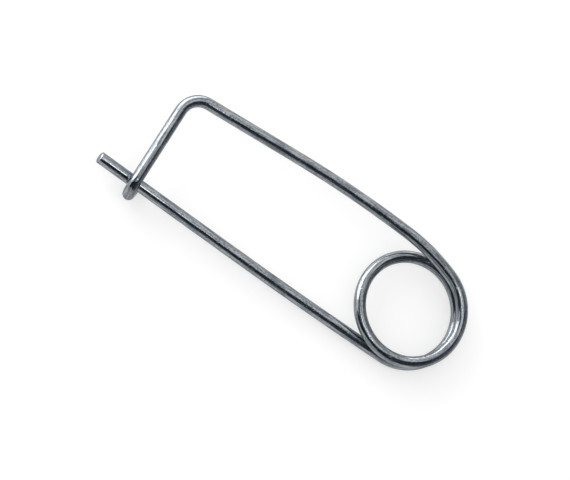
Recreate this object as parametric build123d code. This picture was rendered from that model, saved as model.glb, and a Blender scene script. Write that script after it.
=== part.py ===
# Coiled safety pin: one length of round spring wire, bent and shown latched.
# A straight pin leg runs into a coil of one and a half turns, a spring leg comes back
# beside it, and a cross leg ends in a hook that reaches round the pin leg.
# The wire is laid out on a bench first: pin leg along X with its free end toward -X,
# spring leg on the +Y side, each turn of the coil above the one before. The bent wire
# is then tipped over until it lies on three points, as it would on a table.

import os
from math import atan2, cos, radians, sin, sqrt

from build123d import *

# Driving dimensions in mm and degrees. Radii and runs are those of the centre line.
wire_d = 3.05
end_bevel = 0.25            # broken edge of the two cut ends

stub = 10.1                 # free end to the cross leg
pin_bow_radius = 1300.0     # the pin leg is pushed slightly bowed by the hook
pin_bow_angle = 2.0

coil_lead = 3.0             # level arc between the pin leg and the first half turn
coil_radius = 13.3
coil_gap = 0.15             # daylight between neighbouring turns
end_climb = 1.2             # climb of the first half turn, and of the last

shoulder_radius = 52.0      # the spring leg opens out of the coil in two arcs
shoulder_angle = 16.9
spring_bow_radius = 313.0
spring_bow_angle = 6.4
spring_run = 25.3           # and then runs straight to the corner

corner_radius = 5.7
corner_angle = 84.3

hook_gap = 0.12             # daylight between the pin leg and the hook it presses on
hook_slack = 0.5            # room behind the pin leg, toward the spring leg
hook_sweep = 180.0
hook_lean = 17.0            # the hook leans back toward the coil
hook_tip = 1.2

wire_r = wire_d / 2
along, up = Vector(1, 0, 0), Vector(0, 0, 1)
point_step = 0.25


class Bench:
    """The wire so far: its solid spans, the points of its centre line, and its end."""

    def __init__(self, at, heading):
        self.at, self.heading = at, heading
        self.spans, self.points = [], []

    def section(self):
        return Plane(origin=self.at, z_dir=self.heading) * Circle(wire_r)

    def run(self, length):
        self.spans.append(extrude(self.section(), length))
        start, count = self.at, round(length / point_step) + 1
        self.points += [start + self.heading * (length * i / count) for i in range(count + 1)]
        self.at = start + self.heading * length

    def bend(self, inward, radius, angle):
        """Bend toward the inward direction, which is square to the wire's heading."""
        centre, heading = self.at + inward * radius, self.heading
        axis = Axis(centre, heading.cross(inward))
        self.spans.append(revolve(self.section(), axis, angle))
        count = round(radius * radians(angle) / point_step) + 1
        for i in range(count + 1):
            turn = radians(angle) * i / count
            self.points.append(centre - inward * (radius * cos(turn)) + heading * (radius * sin(turn)))
        self.at = self.points[-1]
        self.heading = heading * cos(turn) + inward * sin(turn)

    def left(self, climb=0.0):
        """The direction to the left of the wire, tipped up by the sine given."""
        level = Vector(-self.heading.Y, self.heading.X, 0).normalized()
        return level * sqrt(1 - climb**2) + up * climb


def lay_down(points):
    """The up direction, on the bench, of a wire that has tipped over on to three points."""
    centre = sum(points, Vector(0, 0, 0)) * (1 / len(points))
    normal, touching = up, [min(points, key=lambda p: p.Z)]
    while len(touching) < 3:
        first = touching[0]
        toward = centre - first
        toward -= normal * toward.dot(normal)
        if len(touching) == 2:
            edge = (touching[1] - first).normalized()
            toward -= edge * toward.dot(edge)
        toward = toward.normalized()
        ahead = [p for p in points if (p - first).dot(toward) > 1.0]
        tips = [(atan2((p - first).dot(normal), (p - first).dot(toward)), p) for p in ahead]
        angle, landing = min(tips, key=lambda tip: tip[0])
        normal = (normal * cos(angle) - toward * sin(angle)).normalized()
        touching.append(landing)
    return normal


# From the straight part of the pin leg, through the coil, to the corner.
bench = Bench(Vector(0, 0, 0), along)
bench.bend(bench.left(), pin_bow_radius, pin_bow_angle)
bench.bend(bench.left(), coil_radius, coil_lead)

end_slope = end_climb / (2 * coil_radius)
middle_slope = (wire_d + coil_gap - end_climb) / (2 * coil_radius)
bench.bend(bench.left(end_slope), coil_radius, 180)
bench.bend(bench.left(middle_slope), coil_radius, 180)

# The last half turn and the two arcs of the spring leg share one tipped plane.
inward = bench.left(end_slope)
for radius, angle in ((coil_radius, 180 - shoulder_angle - spring_bow_angle),
                      (shoulder_radius, shoulder_angle),
                      (spring_bow_radius, spring_bow_angle)):
    heading = bench.heading
    bench.bend(inward, radius, angle)
    inward = inward * cos(radians(angle)) - heading * sin(radians(angle))
bench.run(spring_run)

# The corner tips down just enough for the cross leg to meet the hook, and the length of
# the cross leg depends on that slope, so the two are settled together.
turn = radians(corner_angle)
hook_radius = wire_d + hook_gap + hook_slack
slope, cross_run = 0.0, wire_d
for _ in range(30):
    inward = bench.left(-slope)
    cross_heading = bench.heading * cos(turn) + inward * sin(turn)
    corner_end = (bench.at + bench.heading * (corner_radius * sin(turn))
                  + inward * (corner_radius * (1 - cos(turn))))
    hook_inward = along * sin(radians(hook_lean)) - up * cos(radians(hook_lean))
    hook_inward -= cross_heading * hook_inward.dot(cross_heading)
    hook_inward = hook_inward.normalized()
    hook_start = Vector(0, hook_slack, 0) - hook_inward * hook_radius
    cross_run = (hook_start.Y - corner_end.Y) / cross_heading.Y
    slope = (bench.at.Z - hook_start.Z) / (corner_radius * (1 - cos(turn)) + cross_run * sin(turn))
bench.bend(inward, corner_radius, corner_angle)
bench.run(cross_run)
free_end = Vector(bench.at.X - stub, 0, 0)

bench.bend(hook_inward, hook_radius, hook_sweep)
bench.run(hook_tip)
tip_end = bench.at

# The pin leg from its free end to where the bow starts.
bench.at, bench.heading = free_end, along
bench.run(-free_end.X)

wire = bench.spans[0].fuse(*bench.spans[1:])
for end in (free_end, tip_end):
    rim = wire.edges().filter_by(GeomType.CIRCLE).sort_by_distance(end)[0]
    wire = chamfer(rim, end_bevel)

rest_up = lay_down(bench.points)
floor = Plane(origin=(0, 0, 0), x_dir=along - rest_up * along.dot(rest_up), z_dir=rest_up)
wire = wire.moved(floor.location.inverse())
box = wire.bounding_box()
wire = wire.moved(Location((-box.center().X, -box.center().Y, -box.min.Z)))

os.makedirs("parts", exist_ok=True)
export_step(wire, "parts/spring_wire.step")
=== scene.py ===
from math import atan2, ceil, cos, hypot, pi, radians, sin, sqrt

import bmesh
import bpy
from mathutils import Matrix, Vector


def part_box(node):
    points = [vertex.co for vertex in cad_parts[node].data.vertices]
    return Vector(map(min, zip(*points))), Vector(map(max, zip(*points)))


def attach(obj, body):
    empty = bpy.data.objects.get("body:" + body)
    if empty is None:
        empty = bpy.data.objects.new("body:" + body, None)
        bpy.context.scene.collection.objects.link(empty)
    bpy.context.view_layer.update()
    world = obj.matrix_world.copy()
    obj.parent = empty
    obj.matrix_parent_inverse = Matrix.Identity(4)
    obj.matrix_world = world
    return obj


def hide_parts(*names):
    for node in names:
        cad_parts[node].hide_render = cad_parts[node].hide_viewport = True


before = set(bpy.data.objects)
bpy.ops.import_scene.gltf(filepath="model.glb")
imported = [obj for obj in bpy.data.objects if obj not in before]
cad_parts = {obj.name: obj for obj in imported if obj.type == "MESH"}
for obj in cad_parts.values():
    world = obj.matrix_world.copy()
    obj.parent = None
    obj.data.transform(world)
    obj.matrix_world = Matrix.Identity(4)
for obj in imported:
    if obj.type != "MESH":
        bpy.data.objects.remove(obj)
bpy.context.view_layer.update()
print("frame loaded, nodes:", sorted(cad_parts))

mm = 0.001
up = Vector((0, 0, 1))
along = Vector((1, 0, 0))


def hexColour(code):
    # an sRGB hex value as the linear colour a shader socket wants
    channels = [int(code[i:i + 2], 16) / 255 for i in (1, 3, 5)]
    linear = [c / 12.92 if c <= 0.04045 else ((c + 0.055) / 1.055) ** 2.4 for c in channels]
    return (*linear, 1.0)


def addNode(tree, kind, settings=None, inputs=None, links=None):
    # one node: its settings, its fixed input values, and the sockets that feed it
    node = tree.nodes.new(kind)
    for name, value in (settings or {}).items():
        setattr(node, name, value)
    for key, value in (inputs or {}).items():
        node.inputs[key].default_value = value
    for key, socket in (links or {}).items():
        tree.links.new(socket, node.inputs[key])
    return node


# The wire's centre line, bent up on a bench from the sizes below, all in mm and degrees.
# The pin leg lies along X, the spring leg is on its +Y side, and each turn climbs above the last.
# A bend given by two numbers has a radius, to the centre line, and an angle.
wire = {
    "diameter": 3.05,
    "endBevel": 0.25,           # broken edge of the two cut ends
    "stub": 10.1,               # free end of the pin leg to the cross leg
    "pinBow": (1300.0, 2.0),    # the hook pushes the pin leg slightly bowed
    "coilLead": 3.0,            # level arc between the pin leg and the first half turn
    "coilRadius": 13.3,
    "coilGap": 0.15,            # daylight between neighbouring turns
    "endClimb": 1.2,            # climb of the first half turn, and of the last
    "shoulder": (52.0, 16.9),   # the spring leg opens out of the coil in two arcs
    "springBow": (313.0, 6.4),
    "springRun": 25.3,          # and then runs straight to the corner
    "corner": (5.7, 84.3),
    "hookGap": 0.12,            # daylight between the pin leg and the hook it presses on
    "hookSlack": 0.5,           # room behind the pin leg, toward the spring leg
    "hookSweep": 180.0,
    "hookLean": 17.0,           # the hook leans back toward the coil
    "hookTip": 1.2,
    "settleRounds": 30,         # for the slope and the length of the cross leg
    "balanceStep": 0.25,        # spacing of the points that weigh the wire as it tips over
    "tipReach": 1.0,            # nearer points than this can't stop the wire from tipping
    "stepAngle": 1.5,           # one ring of vertices at least this often round a bend
    "longestStep": 2.0,         # and this often along a run
    "aroundWire": 64,           # vertices round the wire
    "hardAngle": 25.0,          # a sharper fold than this stays a hard edge
}


class Bench:
    # the wire so far: the points of its centre line, its end, and which way it heads

    def __init__(self, at, heading):
        self.at = at
        self.heading = heading
        self.points = [at]

    def run(self, length):
        count = ceil(length / wire["longestStep"])
        start = self.at
        self.points += [start + self.heading * (length * i / count) for i in range(1, count + 1)]
        self.at = self.points[-1]

    def bend(self, inward, radius, angle):
        # inward is the direction the wire bends toward, and it comes back turned to the new end
        centre = self.at + inward * radius
        heading = self.heading
        sweep = radians(angle)
        count = ceil(max(angle / wire["stepAngle"], radius * sweep / wire["longestStep"]))
        for i in range(1, count + 1):
            turn = sweep * i / count
            self.points.append(centre - inward * radius * cos(turn) + heading * radius * sin(turn))
        self.at = self.points[-1]
        self.heading = heading * cos(sweep) + inward * sin(sweep)
        return inward * cos(sweep) - heading * sin(sweep)

    def left(self, climb=0.0):
        # the direction to the left of the wire, tipped up by the sine given
        level = Vector((-self.heading.y, self.heading.x, 0)).normalized()
        return level * sqrt(1 - climb ** 2) + up * climb


def bendWire(size):
    bench = Bench(Vector((0, 0, 0)), along.copy())
    bench.bend(bench.left(), *size["pinBow"])
    bench.bend(bench.left(), size["coilRadius"], size["coilLead"])

    # three half turns, each in a plane of its own that is tipped to climb
    endSlope = size["endClimb"] / (2 * size["coilRadius"])
    middleClimb = size["diameter"] + size["coilGap"] - size["endClimb"]
    bench.bend(bench.left(endSlope), size["coilRadius"], 180)
    bench.bend(bench.left(middleClimb / (2 * size["coilRadius"])), size["coilRadius"], 180)
    inward = bench.left(endSlope)
    lastTurn = 180 - size["shoulder"][1] - size["springBow"][1]
    for radius, angle in ((size["coilRadius"], lastTurn), size["shoulder"], size["springBow"]):
        inward = bench.bend(inward, radius, angle)
    bench.run(size["springRun"])

    # the corner tips down until the cross leg meets the hook that sits round the pin leg
    cornerRadius, cornerAngle = size["corner"]
    turn, lean = radians(cornerAngle), radians(size["hookLean"])
    hookRadius = size["diameter"] + size["hookGap"] + size["hookSlack"]
    slope = 0.0
    for _ in range(size["settleRounds"]):
        inward = bench.left(-slope)
        crossHeading = bench.heading * cos(turn) + inward * sin(turn)
        cornerEnd = (bench.at + bench.heading * cornerRadius * sin(turn)
                     + inward * cornerRadius * (1 - cos(turn)))
        hookInward = along * sin(lean) - up * cos(lean)
        hookInward = (hookInward - crossHeading * hookInward.dot(crossHeading)).normalized()
        hookStart = Vector((0, size["hookSlack"], 0)) - hookInward * hookRadius
        crossRun = (hookStart.y - cornerEnd.y) / crossHeading.y
        slope = ((bench.at.z - hookStart.z)
                 / (cornerRadius * (1 - cos(turn)) + crossRun * sin(turn)))
    bench.bend(inward, cornerRadius, cornerAngle)
    bench.run(crossRun)
    freeEnd = Vector((bench.at.x - size["stub"], 0, 0))
    bench.bend(hookInward, hookRadius, size["hookSweep"])
    bench.run(size["hookTip"])

    pinLeg = Bench(freeEnd, along.copy())
    pinLeg.run(-freeEnd.x)
    return pinLeg.points[:-1] + bench.points


def evenly(points, step):
    # the same line in short equal steps, so that the mean of its points is its balance point
    spaced, left = [], 0.0
    for a, b in zip(points, points[1:]):
        length = (b - a).length
        while left < length:
            spaced.append(a.lerp(b, left / length))
            left += step
        left -= length
    return spaced


def layDown(points):
    # tip the line over on to three points, as the pin comes to rest on a table
    spaced = evenly(points, wire["balanceStep"])
    balance = sum(spaced, Vector((0, 0, 0))) / len(spaced)
    normal, touching = up.copy(), [min(spaced, key=lambda p: p.z)]
    while len(touching) < 3:
        first = touching[0]
        toward = balance - first
        toward -= normal * toward.dot(normal)
        if len(touching) == 2:
            edge = (touching[1] - first).normalized()
            toward -= edge * toward.dot(edge)
        toward.normalize()
        ahead = [p for p in spaced if (p - first).dot(toward) > wire["tipReach"]]
        tips = [(atan2((p - first).dot(normal), (p - first).dot(toward)), i)
                for i, p in enumerate(ahead)]
        angle, landing = min(tips)
        normal = (normal * cos(angle) - toward * sin(angle)).normalized()
        touching.append(ahead[landing])
    level = (along - normal * along.dot(normal)).normalized()
    turned = Matrix((level, normal.cross(level), normal))
    return [turned @ p for p in points]


def makeCentreLine(points):
    data = bpy.data.curves.new("wireCentreLine", "CURVE")
    data.dimensions = "3D"
    spline = data.splines.new("POLY")
    spline.points.add(len(points) - 1)
    for target, point in zip(spline.points, points):
        target.co = (*(point * mm), 1.0)
    line = bpy.data.objects.new("wireCentreLine", data)
    bpy.context.scene.collection.objects.link(line)
    return line


def drawnWireTree():
    # sweeps a round section along the line, breaks the edge of both cut ends, and writes
    # down for each vertex where it sits on the section and how far along the wire, in mm
    tree = bpy.data.node_groups.new("drawnWire", "GeometryNodeTree")
    tree.is_modifier = True
    sockets = tree.interface
    for name, kind in (("Geometry", "NodeSocketGeometry"), ("Wire Radius", "NodeSocketFloat"),
                       ("End Bevel", "NodeSocketFloat"), ("Around", "NodeSocketInt"),
                       ("Finish", "NodeSocketMaterial")):
        sockets.new_socket(name, in_out="INPUT", socket_type=kind)
    sockets.new_socket("Geometry", in_out="OUTPUT", socket_type="NodeSocketGeometry")
    given = addNode(tree, "NodeGroupInput").outputs

    # distance from the nearer cut end decides how much of the bevel is still missing
    line = addNode(tree, "GeometryNodeSplineParameter").outputs
    total = addNode(tree, "GeometryNodeSplineLength").outputs
    toEnd = addNode(tree, "ShaderNodeMath", {"operation": "SUBTRACT"},
                    links={0: total["Length"], 1: line["Length"]}).outputs[0]
    nearEnd = addNode(tree, "ShaderNodeMath", {"operation": "MINIMUM"},
                      links={0: line["Length"], 1: toEnd}).outputs[0]
    missing = addNode(tree, "ShaderNodeMath", {"operation": "SUBTRACT", "use_clamp": True},
                      links={0: given["End Bevel"], 1: nearEnd}).outputs[0]
    radius = addNode(tree, "ShaderNodeMath", {"operation": "SUBTRACT"},
                     links={0: given["Wire Radius"], 1: missing}).outputs[0]
    thinned = addNode(tree, "GeometryNodeSetCurveRadius",
                      links={"Curve": given["Geometry"], "Radius": radius}).outputs[0]
    marked = addNode(tree, "GeometryNodeCaptureAttribute", {"domain": "POINT"},
                     links={"Geometry": thinned})
    marked.capture_items.new("FLOAT", "Along")
    tree.links.new(line["Length"], marked.inputs["Along"])

    section = addNode(tree, "GeometryNodeCurvePrimitiveCircle", {"mode": "RADIUS"},
                      {"Radius": 1.0}, {"Resolution": given["Around"]}).outputs["Curve"]
    place = addNode(tree, "GeometryNodeInputPosition").outputs[0]
    rimmed = addNode(tree, "GeometryNodeCaptureAttribute", {"domain": "POINT"},
                     links={"Geometry": section})
    rimmed.capture_items.new("VECTOR", "Rim")
    tree.links.new(place, rimmed.inputs["Rim"])

    bevelled = addNode(tree, "GeometryNodeInputRadius").outputs[0]
    sweep = addNode(tree, "GeometryNodeCurveToMesh", inputs={"Fill Caps": True},
                    links={"Curve": marked.outputs["Geometry"],
                           "Profile Curve": rimmed.outputs["Geometry"],
                           "Scale": bevelled})

    rim = addNode(tree, "ShaderNodeSeparateXYZ", links={0: rimmed.outputs["Rim"]}).outputs
    rimX = addNode(tree, "ShaderNodeMath", {"operation": "MULTIPLY"},
                   links={0: rim["X"], 1: given["Wire Radius"]}).outputs[0]
    rimY = addNode(tree, "ShaderNodeMath", {"operation": "MULTIPLY"},
                   links={0: rim["Y"], 1: given["Wire Radius"]}).outputs[0]
    grain = addNode(tree, "ShaderNodeCombineXYZ",
                    links={"X": rimX, "Y": rimY, "Z": marked.outputs["Along"]}).outputs[0]
    inMm = addNode(tree, "ShaderNodeVectorMath", {"operation": "SCALE"},
                   {"Scale": 1 / mm}, {0: grain}).outputs[0]
    written = addNode(tree, "GeometryNodeStoreNamedAttribute",
                      {"data_type": "FLOAT_VECTOR", "domain": "POINT"}, {"Name": "drawnAlong"},
                      {"Geometry": sweep.outputs["Mesh"], "Value": inMm}).outputs[0]

    # the cut faces and their bevels keep a hard edge, the drawn surface is smooth
    fold = addNode(tree, "GeometryNodeInputMeshEdgeAngle").outputs["Unsigned Angle"]
    hard = addNode(tree, "ShaderNodeMath", {"operation": "GREATER_THAN"},
                   {1: radians(wire["hardAngle"])}, {0: fold}).outputs[0]
    creased = addNode(tree, "GeometryNodeStoreNamedAttribute",
                      {"data_type": "BOOLEAN", "domain": "EDGE"}, {"Name": "sharp_edge"},
                      {"Geometry": written, "Value": hard}).outputs[0]
    smooth = addNode(tree, "GeometryNodeSetShadeSmooth", {"domain": "FACE"},
                     links={"Geometry": creased}).outputs[0]
    real = addNode(tree, "GeometryNodeRealizeInstances", links={"Geometry": smooth}).outputs[0]
    finished = addNode(tree, "GeometryNodeSetMaterial",
                       links={"Geometry": real, "Material": given["Finish"]}).outputs[0]
    addNode(tree, "NodeGroupOutput", links={"Geometry": finished})
    return tree


# The finish, with sizes in mm. A pair is where a pattern starts to show and where it is in full.
zinc = {
    "tint": "#a8adb1",
    "streakTint": "#757c83",
    "edgeTint": "#c0c0c0",              # plated zinc mirrors a little less toward grazing
    "roughness": 0.065,
    "patternRoughness": 0.55,           # share of fine noise in each pattern
    "streakWidth": 0.45,                # real die lines are finer, drawn this coarse to show
    "streakLength": 5.0,
    "streakDepth": 0.018,
    "grainSize": 0.28,                  # the crystals of the plating, also drawn coarse
    "grainDepth": 0.011,
    "grainShare": 0.4,                  # of the colour pattern, and streaks are the rest
    "tintRange": (0.45, 0.56),          # from streakTint to tint
    "bloomSize": 2.5,                   # where the plating is a little duller
    "bloomStretch": 3,                  # times longer along the wire than across
    "bloomRange": (0.3, 0.7),
    "bloomRoughness": (-0.03, 0.06),    # added to roughness outside a bloom and in it
    "nickSize": 0.5,                    # scattered dents from the coiling tools and from the bin
    "nickStretch": 1.6,
    "nickRange": (0.64, 0.72),
    "nickDepth": 0.02,
    "cutTint": "#a2a4a6",
    "cutRoughness": 0.42,
    "cutRange": (0.06, 0.02),           # distance from the cut end
}


def brightZincPlate(wireLength):
    # bright zinc plate over cold drawn spring steel: a cool grey mirror, lined along its length
    # by the drawing die so that reflections break into dashes, with a fine crystal grain and a
    # few nicks that glint, and dull sheared steel on the two cut ends
    material = bpy.data.materials.new("brightZincPlate")
    material.use_nodes = True
    tree = material.node_tree
    tree.nodes.clear()
    place = addNode(tree, "ShaderNodeAttribute", {"attribute_name": "drawnAlong"}).outputs["Vector"]

    def pattern(across, lengthwise, detail):
        scaled = addNode(tree, "ShaderNodeMapping",
                         inputs={"Scale": (1 / across, 1 / across, 1 / lengthwise)},
                         links={"Vector": place}).outputs[0]
        return addNode(tree, "ShaderNodeTexNoise", {"noise_dimensions": "3D"},
                       {"Scale": 1.0, "Detail": detail, "Roughness": zinc["patternRoughness"]},
                       {"Vector": scaled}).outputs["Fac"]

    streaks = pattern(zinc["streakWidth"], zinc["streakLength"], 2.0)
    grain = pattern(zinc["grainSize"], zinc["grainSize"], 1.0)
    bloom = pattern(zinc["bloomSize"], zinc["bloomSize"] * zinc["bloomStretch"], 2.0)
    peaks = pattern(zinc["nickSize"], zinc["nickSize"] * zinc["nickStretch"], 1.0)
    nickStart, nickFull = zinc["nickRange"]
    nicks = addNode(tree, "ShaderNodeMapRange",
                    inputs={"From Min": nickStart, "From Max": nickFull},
                    links={"Value": peaks}).outputs["Result"]

    # how far from the nearer cut end, to tell the sheared faces from the drawn surface
    lengthwise = addNode(tree, "ShaderNodeSeparateXYZ", links={0: place}).outputs["Z"]
    fromMiddle = addNode(tree, "ShaderNodeMath", {"operation": "SUBTRACT"},
                         {1: wireLength / 2}, {0: lengthwise}).outputs[0]
    outward = addNode(tree, "ShaderNodeMath", {"operation": "ABSOLUTE"},
                      links={0: fromMiddle}).outputs[0]
    cutStart, cutFull = (wireLength / 2 - distance for distance in zinc["cutRange"])
    cut = addNode(tree, "ShaderNodeMapRange",
                  inputs={"From Min": cutStart, "From Max": cutFull},
                  links={"Value": outward}).outputs["Result"]

    # colour: streaks and grain of the plating, and the steel of the cut faces
    mixed = addNode(tree, "ShaderNodeMix", {"data_type": "FLOAT"},
                    {"Factor": zinc["grainShare"]}, {"A": streaks, "B": grain}).outputs["Result"]
    colour = addNode(tree, "ShaderNodeValToRGB", links={"Fac": mixed})
    stops = zip(colour.color_ramp.elements, zinc["tintRange"], ("streakTint", "tint"))
    for stop, position, tint in stops:
        stop.position = position
        stop.color = hexColour(zinc[tint])
    tinted = addNode(tree, "ShaderNodeMix", {"data_type": "RGBA"},
                     links={"Factor": cut, "A": colour.outputs["Color"]})
    tinted.inputs["B"].default_value = hexColour(zinc["cutTint"])

    # roughness: duller in the blooms, and dullest on the cut faces
    bloomStart, bloomFull = zinc["bloomRange"]
    brightest, dullest = (zinc["roughness"] + change for change in zinc["bloomRoughness"])
    dull = addNode(tree, "ShaderNodeMapRange",
                   inputs={"From Min": bloomStart, "From Max": bloomFull,
                           "To Min": brightest, "To Max": dullest},
                   links={"Value": bloom}).outputs["Result"]
    rough = addNode(tree, "ShaderNodeMix", {"data_type": "FLOAT"}, {"B": zinc["cutRoughness"]},
                    {"Factor": cut, "A": dull}).outputs["Result"]

    # relief: grain and die lines stand up, nicks go in
    grained = addNode(tree, "ShaderNodeBump", inputs={"Distance": zinc["grainDepth"] * mm},
                      links={"Height": grain}).outputs["Normal"]
    lined = addNode(tree, "ShaderNodeBump", inputs={"Distance": zinc["streakDepth"] * mm},
                    links={"Height": streaks, "Normal": grained}).outputs["Normal"]
    nicked = addNode(tree, "ShaderNodeBump", {"invert": True},
                     {"Distance": zinc["nickDepth"] * mm},
                     {"Height": nicks, "Normal": lined}).outputs["Normal"]
    metal = addNode(tree, "ShaderNodeBsdfPrincipled",
                    inputs={"Metallic": 1.0, "Specular Tint": hexColour(zinc["edgeTint"])},
                    links={"Base Color": tinted.outputs["Result"], "Roughness": rough,
                           "Normal": nicked}).outputs[0]
    addNode(tree, "ShaderNodeOutputMaterial", links={"Surface": metal})
    print("finish made:", material.name)
    return material


def makeWire():
    points = layDown(bendWire(wire))
    wireLength = sum((b - a).length for a, b in zip(points, points[1:]))
    print("wire bent and laid down, mm long:", round(wireLength, 1))

    # one more ring at each end, where its bevel runs out
    bevel = wire["endBevel"]
    afterFirst = points[0] + (points[1] - points[0]).normalized() * bevel
    beforeLast = points[-1] + (points[-2] - points[-1]).normalized() * bevel
    line = makeCentreLine([points[0], afterFirst, *points[1:-1], beforeLast, points[-1]])

    tree = drawnWireTree()
    modifier = line.modifiers.new("drawnWire", "NODES")
    modifier.node_group = tree
    values = {"Wire Radius": wire["diameter"] / 2 * mm, "End Bevel": bevel * mm,
              "Around": wire["aroundWire"], "Finish": brightZincPlate(wireLength)}
    for item in tree.interface.items_tree:
        if item.in_out == "INPUT" and item.name in values:
            modifier[item.identifier] = values[item.name]
    bpy.context.view_layer.update()
    ready = line.evaluated_get(bpy.context.evaluated_depsgraph_get())
    mesh = bpy.data.meshes.new_from_object(ready)
    mesh.name = "plated_wire"
    bpy.data.objects.remove(line)

    # put the wire on the place of the CAD node: middle in plan, lowest point on the table
    low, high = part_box("spring_wire")
    xs, ys, zs = ([v.co[i] for v in mesh.vertices] for i in range(3))
    mesh.transform(Matrix.Translation((
        (low[0] + high[0] - min(xs) - max(xs)) / 2,
        (low[1] + high[1] - min(ys) - max(ys)) / 2,
        low[2] - min(zs))))
    piece = bpy.data.objects.new("plated_wire", mesh)
    bpy.context.scene.collection.objects.link(piece)
    return piece


wirePiece = makeWire()
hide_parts("spring_wire")
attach(wirePiece, "root")
print("wire swept, faces:", len(wirePiece.data.polygons))


# The table and the light round it. A place in the room is given by how far it leans from
# straight overhead toward +X and toward +Y, in degrees: (-90, 0) is level with the table on
# the -X side. Distances are in metres.
studio = {
    "boardTint": "#c4c4c4",
    "boardSide": 3.0,
    "roomLight": 0.78,      # what the pale room gives to matt surfaces
    "roomSeen": 1.0,        # how bright the eye and the metal see it, where 1 is white
    "boardLift": 0.51,      # brings the lit board up to white for the eye and the metal
    "boardRoughness": 0.3,  # of the sheen that the metal sees on it toward grazing
    "boardIor": 1.9,        # and how soon that sheen sets in
    "overhead": 0.9,        # a lamp counts as overhead from this cosine of its lean
    "cardAway": 1.4,
    "cardStep": 0.01,       # each card hangs nearer by this, so a later one covers an earlier
    "cardCuts": 5,          # per edge, so that a card bends round the pin
    "lamps": {
        "softbox": {"lean": (-71, 23), "away": 1.0, "size": (1.0, 0.88), "turned": 18,
                    "brightness": 2.3},
        "lensLamp": {"lean": (0, -6.5), "away": 0.28, "size": (0.11, 0.045), "turned": 0,
                     "brightness": 2.6},
        "backPanel": {"lean": (-50, 66), "away": 1.2, "size": (1.60, 0.70), "turned": 0,
                      "brightness": 2.2},
    },
    "cards": {              # tint, and corners by their lean
        "blackCard": ("#383f47", ((-72, -36), (-60, -30), (-42, -25), (-22, -25), (-8, -23),
                                  (8, -18), (15, -14), (17, -10), (18, 0), (21, 24), (36, 26),
                                  (48, 16), (56, 0), (62, -22), (57, -46), (42, -60), (22, -66),
                                  (-8, -62), (-30, -62), (-48, -66), (-64, -56))),
        "darkCard": ("#4a5159", ((19, -58), (19, -8), (20, 2), (22, 22), (36, 24), (46, 14),
                                 (53, 0), (58, -22), (54, -44), (40, -58))),
        "dimCard": ("#767c82", ((-48, -25), (-46, 0), (-36, 13), (-22, 11), (-19, -4), (-20, -25),
                                (-34, -25))),
        "rightGreyCard": ("#8e9194", ((21, 24), (36, 26), (48, 16), (56, 0), (62, -22), (57, -46),
                                      (70, -58), (84, -38), (91, 0), (80, 44), (58, 52), (40, 44))),
        "cornerGreyCard": ("#b8b8b8", ((21, 24), (40, 44), (58, 52), (80, 44), (60, 68),
                                       (40, 82), (26, 60))),
        "frontGreyCard": ("#cfcfcf", ((-76, -50), (-64, -56), (-48, -66), (-30, -62), (-8, -62),
                                      (22, -66), (42, -60), (57, -46), (70, -58), (40, -80),
                                      (0, -90), (-40, -80))),
    },
}


def lean(x, y):
    # the direction of a place in the room, seen from the pin
    off, toward = radians(hypot(x, y)), atan2(y, x)
    return Vector((sin(off) * cos(toward), sin(off) * sin(toward), cos(off)))


def addLamp(name, place):
    wide, tall = place["size"]
    light = bpy.data.lights.new(name, "AREA")
    light.shape = "RECTANGLE"
    light.size, light.size_y = wide, tall
    light.energy = place["brightness"] * pi * wide * tall
    lamp = bpy.data.objects.new(name, light)
    lamp.location = lean(*place["lean"]) * place["away"]
    # its long side lies level, or along X for one overhead, before it is turned
    back = lamp.location.normalized()
    if back.z < studio["overhead"]:
        side = up.cross(back).normalized()
    else:
        side = (along - back * back.x).normalized()
    facing = Matrix((side, back.cross(side), back)).transposed()
    spun = facing @ Matrix.Rotation(radians(place["turned"]), 3, "Z")
    lamp.rotation_euler = spun.to_euler()
    lamp.visible_camera = False
    bpy.context.scene.collection.objects.link(lamp)


def addCard(name, tint, outline, away):
    # a card cut to an outline and bent round the pin, which only mirrors in the metal:
    # it throws no shadow and hides nothing from the eye
    shape = bmesh.new()
    shape.faces.new([shape.verts.new((x, y, 0)) for x, y in outline])
    bmesh.ops.triangulate(shape, faces=shape.faces)
    bmesh.ops.subdivide_edges(shape, edges=shape.edges, cuts=studio["cardCuts"],
                              use_grid_fill=True)
    for v in shape.verts:
        v.co = lean(v.co.x, v.co.y) * away
    data = bpy.data.meshes.new(name)
    shape.to_mesh(data)
    shape.free()
    card = bpy.data.objects.new(name, data)
    card.visible_camera = card.visible_shadow = card.visible_diffuse = False
    paper = bpy.data.materials.new(name)
    paper.use_nodes = True
    paper.node_tree.nodes.clear()
    glow = addNode(paper.node_tree, "ShaderNodeEmission", inputs={"Color": hexColour(tint)})
    addNode(paper.node_tree, "ShaderNodeOutputMaterial", links={"Surface": glow.outputs[0]})
    data.materials.append(paper)
    bpy.context.scene.collection.objects.link(card)


def whiteToEye(tree, low, high):
    # low for the light that falls on matt things, high for the eye, metal and glass
    ray = addNode(tree, "ShaderNodeLightPath").outputs
    seen = addNode(tree, "ShaderNodeMath", {"operation": "MAXIMUM"},
                   links={0: ray["Is Camera Ray"], 1: ray["Is Glossy Ray"]}).outputs[0]
    through = addNode(tree, "ShaderNodeMath", {"operation": "MAXIMUM"},
                      links={0: seen, 1: ray["Is Transmission Ray"]}).outputs[0]
    return addNode(tree, "ShaderNodeMapRange", inputs={"To Min": low, "To Max": high},
                   links={"Value": through}).outputs["Result"]


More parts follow.
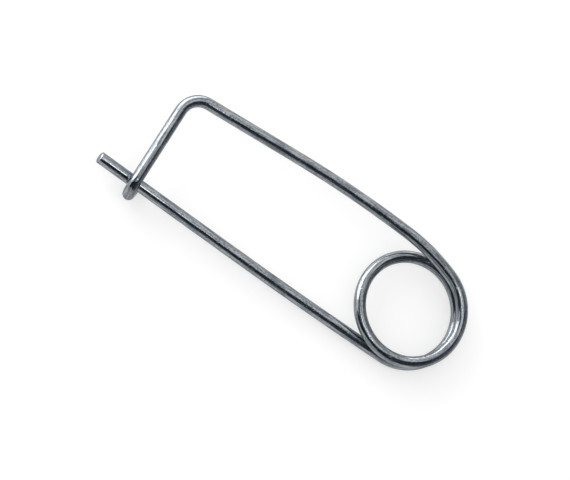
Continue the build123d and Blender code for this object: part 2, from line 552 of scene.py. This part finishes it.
def makeTable():
    # white matt board, which keeps the shadow of the pin
    side = studio["boardSide"] / 2
    data = bpy.data.meshes.new("table")
    data.from_pydata([(-side, -side, 0), (side, -side, 0), (side, side, 0), (-side, side, 0)],
                     [], [(0, 1, 2, 3)])
    table = bpy.data.objects.new("table", data)
    board = bpy.data.materials.new("whiteBoard")
    board.use_nodes = True
    tree = board.node_tree
    tree.nodes.clear()
    matt = addNode(tree, "ShaderNodeBsdfDiffuse", inputs={"Color": hexColour(studio["boardTint"])})
    lift = addNode(tree, "ShaderNodeEmission", inputs={"Color": (1, 1, 1, 1)},
                   links={"Strength": whiteToEye(tree, 0.0, studio["boardLift"])})
    lit = addNode(tree, "ShaderNodeAddShader", links={0: matt.outputs[0], 1: lift.outputs[0]})

    # its satin face mirrors the softbox in the low sides of the wire
    sheen = addNode(tree, "ShaderNodeBsdfGlossy",
                    inputs={"Color": (1, 1, 1, 1), "Roughness": studio["boardRoughness"]})
    grazing = addNode(tree, "ShaderNodeFresnel", inputs={"IOR": studio["boardIor"]}).outputs[0]
    mirrored = addNode(tree, "ShaderNodeLightPath").outputs["Is Glossy Ray"]
    share = addNode(tree, "ShaderNodeMath", {"operation": "MULTIPLY"},
                    links={0: grazing, 1: mirrored}).outputs[0]
    satin = addNode(tree, "ShaderNodeMixShader",
                    links={0: share, 1: lit.outputs[0], 2: sheen.outputs[0]})
    addNode(tree, "ShaderNodeOutputMaterial", links={"Surface": satin.outputs[0]})
    data.materials.append(board)
    bpy.context.scene.collection.objects.link(table)


def makeRoom():
    world = bpy.data.worlds.new("paleRoom")
    bpy.context.scene.world = world
    world.use_nodes = True
    tree = world.node_tree
    tree.nodes.clear()
    glow = addNode(tree, "ShaderNodeBackground", inputs={"Color": (1, 1, 1, 1)},
                   links={"Strength": whiteToEye(tree, studio["roomLight"], studio["roomSeen"])})
    addNode(tree, "ShaderNodeOutputWorld", links={"Surface": glow.outputs[0]})


makeTable()
makeRoom()
for lampName, place in studio["lamps"].items():
    addLamp(lampName, place)
for i, (cardName, (tint, outline)) in enumerate(studio["cards"].items()):
    addCard(cardName, tint, outline, studio["cardAway"] - studio["cardStep"] * i)
print("table, room, lamps and cards placed")


# The camera looks down at the pin from far off, through a long lens, rolled so that the
# pin leg runs down to the right.
camera = {
    "distance": 3.0,        # m
    "azimuth": -33.43,      # degrees round from the -Y side, counted toward +X
    "elevation": 68.83,
    "roll": 66.65,
    "pixelsPerMm": 4.0664,
    "originPixel": (284.54, 232.56),    # where the frame's origin falls in the picture
    "image": (570, 480),
    "sensorWidth": 36.0,    # mm
    "clip": (0.1, 20.0),    # m
}


def makeCamera():
    a, e = radians(camera["azimuth"]), radians(camera["elevation"])
    back = Vector((sin(a) * cos(e), -cos(a) * cos(e), sin(e)))
    levelRight = up.cross(back).normalized()
    levelUp = back.cross(levelRight)
    roll = radians(camera["roll"])
    right = levelRight * cos(roll) + levelUp * sin(roll)
    top = back.cross(right)
    wide, high = camera["image"]
    px, py = camera["originPixel"]
    perMm = camera["pixelsPerMm"]
    # pixels are counted from 0, so the middle of the picture is half a pixel short of its half
    aim = (right * ((wide - 1) / 2 - px) + top * (py - (high - 1) / 2)) * (mm / perMm)
    lens = bpy.data.cameras.new("camera")
    lens.sensor_width = camera["sensorWidth"]
    lens.lens = lens.sensor_width * camera["distance"] / (wide / perMm * mm)
    lens.clip_start, lens.clip_end = camera["clip"]
    eye = bpy.data.objects.new("camera", lens)
    eye.matrix_world = Matrix.Translation(aim + back * camera["distance"]) @ Matrix((
        (right.x, top.x, back.x, 0), (right.y, top.y, back.y, 0),
        (right.z, top.z, back.z, 0), (0, 0, 0, 1)))
    bpy.context.scene.collection.objects.link(eye)
    bpy.context.scene.camera = eye


makeCamera()
bpy.context.scene.view_settings.view_transform = "Standard"
print("camera set")
